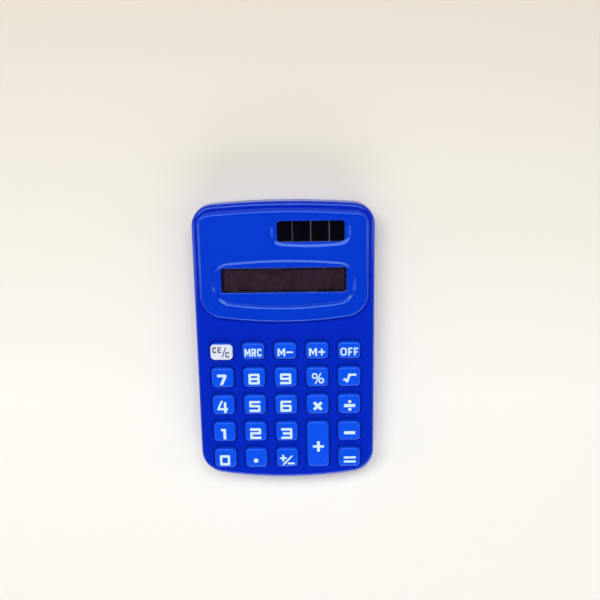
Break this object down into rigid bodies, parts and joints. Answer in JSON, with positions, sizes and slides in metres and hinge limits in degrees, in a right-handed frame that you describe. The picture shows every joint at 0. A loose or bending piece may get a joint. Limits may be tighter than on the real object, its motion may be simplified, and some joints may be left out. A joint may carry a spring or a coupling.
{
  "type": "pocket calculator",
  "caption": "Small flat calculator with a raised display hood, a solar panel and separate spring-back keys over a silicone membrane.",
  "frame": {"origin": "on the flat rear face, under the middle of the body", "axes": "+Z out of the keys, +Y from the keys towards the display, +X to the right"},
  "size_m": [0.0576, 0.092, 0.0098],
  "materials": {
    "rear_plastic": "smooth moulded blue",
    "front_plastic": "smooth moulded blue, slightly glossy",
    "key_plastic": "smooth moulded blue, slightly lighter than the casing",
    "display_pane": "tinted clear acrylic",
    "solar_pane": "tinted clear acrylic",
    "display_glass": "dark liquid-crystal cell",
    "display_film": "thin polarising film",
    "connector_rubber": "silicone with conducting layers",
    "solar_cells": "near-black amorphous silicon on glass",
    "lead_insulation": "red insulation",
    "board": "green solder resist",
    "membrane_rubber": "translucent grey silicone",
    "epoxy": "black potting",
    "resistor_body": "black film on white ceramic",
    "capacitor_body": "tan ceramic",
    "diode_body": "black moulded",
    "cell_can": "nickel-plated steel",
    "contact_metal": "plated spring steel",
    "screw_steel": "zinc-plated steel"
  },
  "bodies": {
    "casing": {"rear_casing": "rear_plastic", "front_casing": "front_plastic", "display_window": "display_pane", "solar_window": "solar_pane", "display_glass": "display_glass", "display_films": "display_film", "display_connector": "connector_rubber", "solar_panel": "solar_cells", "solar_leads": "lead_insulation", "circuit_board": "board", "key_membrane": "membrane_rubber", "chip": "epoxy", "resistor": "resistor_body", "capacitor": "capacitor_body", "diode": "diode_body", "button_cell": "cell_can", "cell_clip": "contact_metal", "cell_contact": "contact_metal", "casing_screws": "screw_steel", "board_screws": "screw_steel"},
    "key_0": {"key_0": "key_plastic"},
    "key_point": {"key_point": "key_plastic"},
    "key_sign": {"key_sign": "key_plastic"},
    "key_equals": {"key_equals": "key_plastic"},
    "key_1": {"key_1": "key_plastic"},
    "key_2": {"key_2": "key_plastic"},
    "key_3": {"key_3": "key_plastic"},
    "key_subtract": {"key_subtract": "key_plastic"},
    "key_4": {"key_4": "key_plastic"},
    "key_5": {"key_5": "key_plastic"},
    "key_6": {"key_6": "key_plastic"},
    "key_multiply": {"key_multiply": "key_plastic"},
    "key_divide": {"key_divide": "key_plastic"},
    "key_7": {"key_7": "key_plastic"},
    "key_8": {"key_8": "key_plastic"},
    "key_9": {"key_9": "key_plastic"},
    "key_percent": {"key_percent": "key_plastic"},
    "key_root": {"key_root": "key_plastic"},
    "key_clear": {"key_clear": "key_plastic"},
    "key_memory_recall": {"key_memory_recall": "key_plastic"},
    "key_memory_minus": {"key_memory_minus": "key_plastic"},
    "key_memory_plus": {"key_memory_plus": "key_plastic"},
    "key_off": {"key_off": "key_plastic"},
    "key_add": {"key_add": "key_plastic"}
  },
  "joints": [
    {"name": "key_0_press", "type": "slide", "parent": "casing", "child": "key_0", "axis": [0, 0, -1], "range_m": [0, 0.001], "stiffness_N_per_m": 400, "springref_m": -0.0005, "deforming": ["key_membrane"]},
    {"name": "key_point_press", "type": "slide", "parent": "casing", "child": "key_point", "axis": [0, 0, -1], "range_m": [0, 0.001], "stiffness_N_per_m": 400, "springref_m": -0.0005, "deforming": ["key_membrane"]},
    {"name": "key_sign_press", "type": "slide", "parent": "casing", "child": "key_sign", "axis": [0, 0, -1], "range_m": [0, 0.001], "stiffness_N_per_m": 400, "springref_m": -0.0005, "deforming": ["key_membrane"]},
    {"name": "key_equals_press", "type": "slide", "parent": "casing", "child": "key_equals", "axis": [0, 0, -1], "range_m": [0, 0.001], "stiffness_N_per_m": 400, "springref_m": -0.0005, "deforming": ["key_membrane"]},
    {"name": "key_1_press", "type": "slide", "parent": "casing", "child": "key_1", "axis": [0, 0, -1], "range_m": [0, 0.001], "stiffness_N_per_m": 400, "springref_m": -0.0005, "deforming": ["key_membrane"]},
    {"name": "key_2_press", "type": "slide", "parent": "casing", "child": "key_2", "axis": [0, 0, -1], "range_m": [0, 0.001], "stiffness_N_per_m": 400, "springref_m": -0.0005, "deforming": ["key_membrane"]},
    {"name": "key_3_press", "type": "slide", "parent": "casing", "child": "key_3", "axis": [0, 0, -1], "range_m": [0, 0.001], "stiffness_N_per_m": 400, "springref_m": -0.0005, "deforming": ["key_membrane"]},
    {"name": "key_subtract_press", "type": "slide", "parent": "casing", "child": "key_subtract", "axis": [0, 0, -1], "range_m": [0, 0.001], "stiffness_N_per_m": 400, "springref_m": -0.0005, "deforming": ["key_membrane"]},
    {"name": "key_4_press", "type": "slide", "parent": "casing", "child": "key_4", "axis": [0, 0, -1], "range_m": [0, 0.001], "stiffness_N_per_m": 400, "springref_m": -0.0005, "deforming": ["key_membrane"]},
    {"name": "key_5_press", "type": "slide", "parent": "casing", "child": "key_5", "axis": [0, 0, -1], "range_m": [0, 0.001], "stiffness_N_per_m": 400, "springref_m": -0.0005, "deforming": ["key_membrane"]},
    {"name": "key_6_press", "type": "slide", "parent": "casing", "child": "key_6", "axis": [0, 0, -1], "range_m": [0, 0.001], "stiffness_N_per_m": 400, "springref_m": -0.0005, "deforming": ["key_membrane"]},
    {"name": "key_multiply_press", "type": "slide", "parent": "casing", "child": "key_multiply", "axis": [0, 0, -1], "range_m": [0, 0.001], "stiffness_N_per_m": 400, "springref_m": -0.0005, "deforming": ["key_membrane"]},
    {"name": "key_divide_press", "type": "slide", "parent": "casing", "child": "key_divide", "axis": [0, 0, -1], "range_m": [0, 0.001], "stiffness_N_per_m": 400, "springref_m": -0.0005, "deforming": ["key_membrane"]},
    {"name": "key_7_press", "type": "slide", "parent": "casing", "child": "key_7", "axis": [0, 0, -1], "range_m": [0, 0.001], "stiffness_N_per_m": 400, "springref_m": -0.0005, "deforming": ["key_membrane"]},
    {"name": "key_8_press", "type": "slide", "parent": "casing", "child": "key_8", "axis": [0, 0, -1], "range_m": [0, 0.001], "stiffness_N_per_m": 400, "springref_m": -0.0005, "deforming": ["key_membrane"]},
    {"name": "key_9_press", "type": "slide", "parent": "casing", "child": "key_9", "axis": [0, 0, -1], "range_m": [0, 0.001], "stiffness_N_per_m": 400, "springref_m": -0.0005, "deforming": ["key_membrane"]},
    {"name": "key_percent_press", "type": "slide", "parent": "casing", "child": "key_percent", "axis": [0, 0, -1], "range_m": [0, 0.001], "stiffness_N_per_m": 400, "springref_m": -0.0005, "deforming": ["key_membrane"]},
    {"name": "key_root_press", "type": "slide", "parent": "casing", "child": "key_root", "axis": [0, 0, -1], "range_m": [0, 0.001], "stiffness_N_per_m": 400, "springref_m": -0.0005, "deforming": ["key_membrane"]},
    {"name": "key_clear_press", "type": "slide", "parent": "casing", "child": "key_clear", "axis": [0, 0, -1], "range_m": [0, 0.001], "stiffness_N_per_m": 400, "springref_m": -0.0005, "deforming": ["key_membrane"]},
    {"name": "key_memory_recall_press", "type": "slide", "parent": "casing", "child": "key_memory_recall", "axis": [0, 0, -1], "range_m": [0, 0.001], "stiffness_N_per_m": 400, "springref_m": -0.0005, "deforming": ["key_membrane"]},
    {"name": "key_memory_minus_press", "type": "slide", "parent": "casing", "child": "key_memory_minus", "axis": [0, 0, -1], "range_m": [0, 0.001], "stiffness_N_per_m": 400, "springref_m": -0.0005, "deforming": ["key_membrane"]},
    {"name": "key_memory_plus_press", "type": "slide", "parent": "casing", "child": "key_memory_plus", "axis": [0, 0, -1], "range_m": [0, 0.001], "stiffness_N_per_m": 400, "springref_m": -0.0005, "deforming": ["key_membrane"]},
    {"name": "key_off_press", "type": "slide", "parent": "casing", "child": "key_off", "axis": [0, 0, -1], "range_m": [0, 0.001], "stiffness_N_per_m": 400, "springref_m": -0.0005, "deforming": ["key_membrane"]},
    {"name": "key_add_press", "type": "slide", "parent": "casing", "child": "key_add", "axis": [0, 0, -1], "range_m": [0, 0.001], "stiffness_N_per_m": 400, "springref_m": -0.0005, "deforming": ["key_membrane"]}
  ]
}
